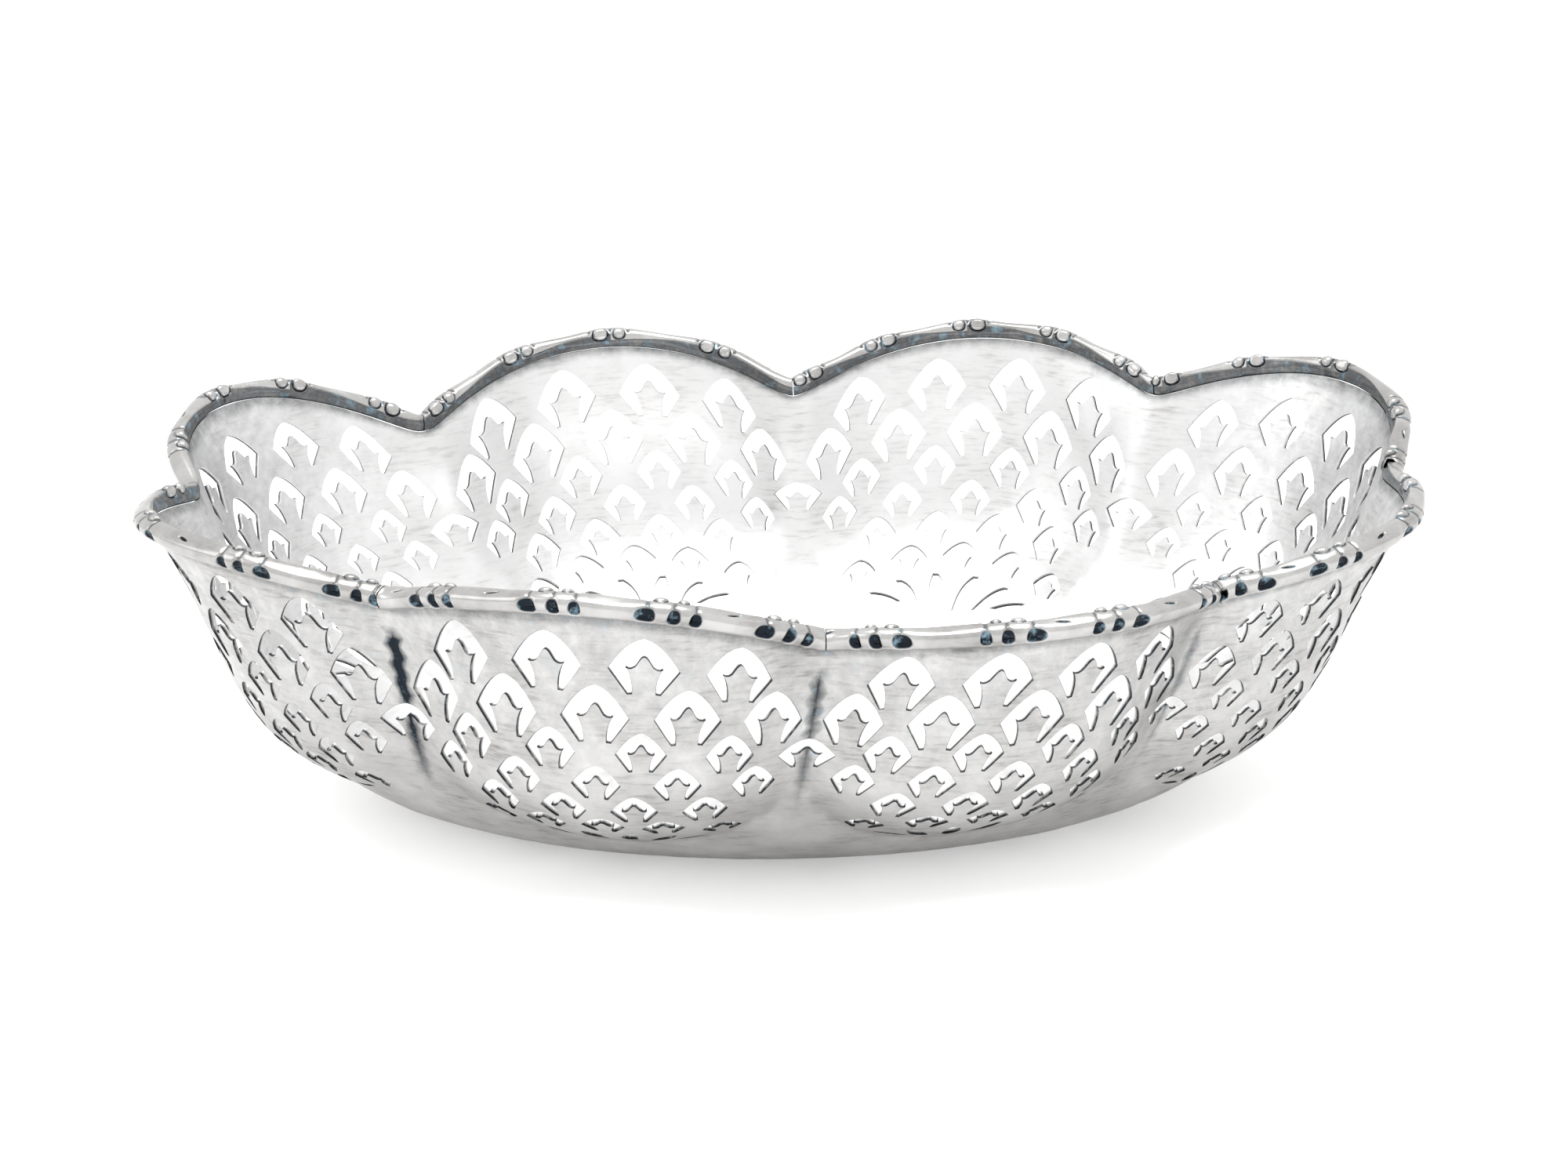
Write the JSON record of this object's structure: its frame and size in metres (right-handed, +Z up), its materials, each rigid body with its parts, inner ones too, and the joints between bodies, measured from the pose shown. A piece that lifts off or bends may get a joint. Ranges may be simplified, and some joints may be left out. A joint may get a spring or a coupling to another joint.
{
  "type": "bonbon dish",
  "caption": "Oval lobed bonbon dish of pierced raised silver, with rows of arched openings, petal slots and a ribbed scroll border.",
  "frame": {"origin": "middle of the whole dish's outline at the height of its flat base", "axes": "+X along the dish's length, +Y across it, +Z up out of its flat base"},
  "size_m": [0.1552, 0.1156, 0.0456],
  "materials": {
    "bowl_silver": "aged satin silver with tarnish in the creases",
    "border_silver": "aged polished silver with dark tarnish in the recesses"
  },
  "bodies": {
    "root": {"bowl": "bowl_silver", "border_section_1": "border_silver", "border_section_2": "border_silver", "border_section_3": "border_silver", "border_section_4": "border_silver", "border_section_5": "border_silver", "border_section_6": "border_silver", "border_section_7": "border_silver", "border_section_8": "border_silver"}
  },
  "joints": []
}
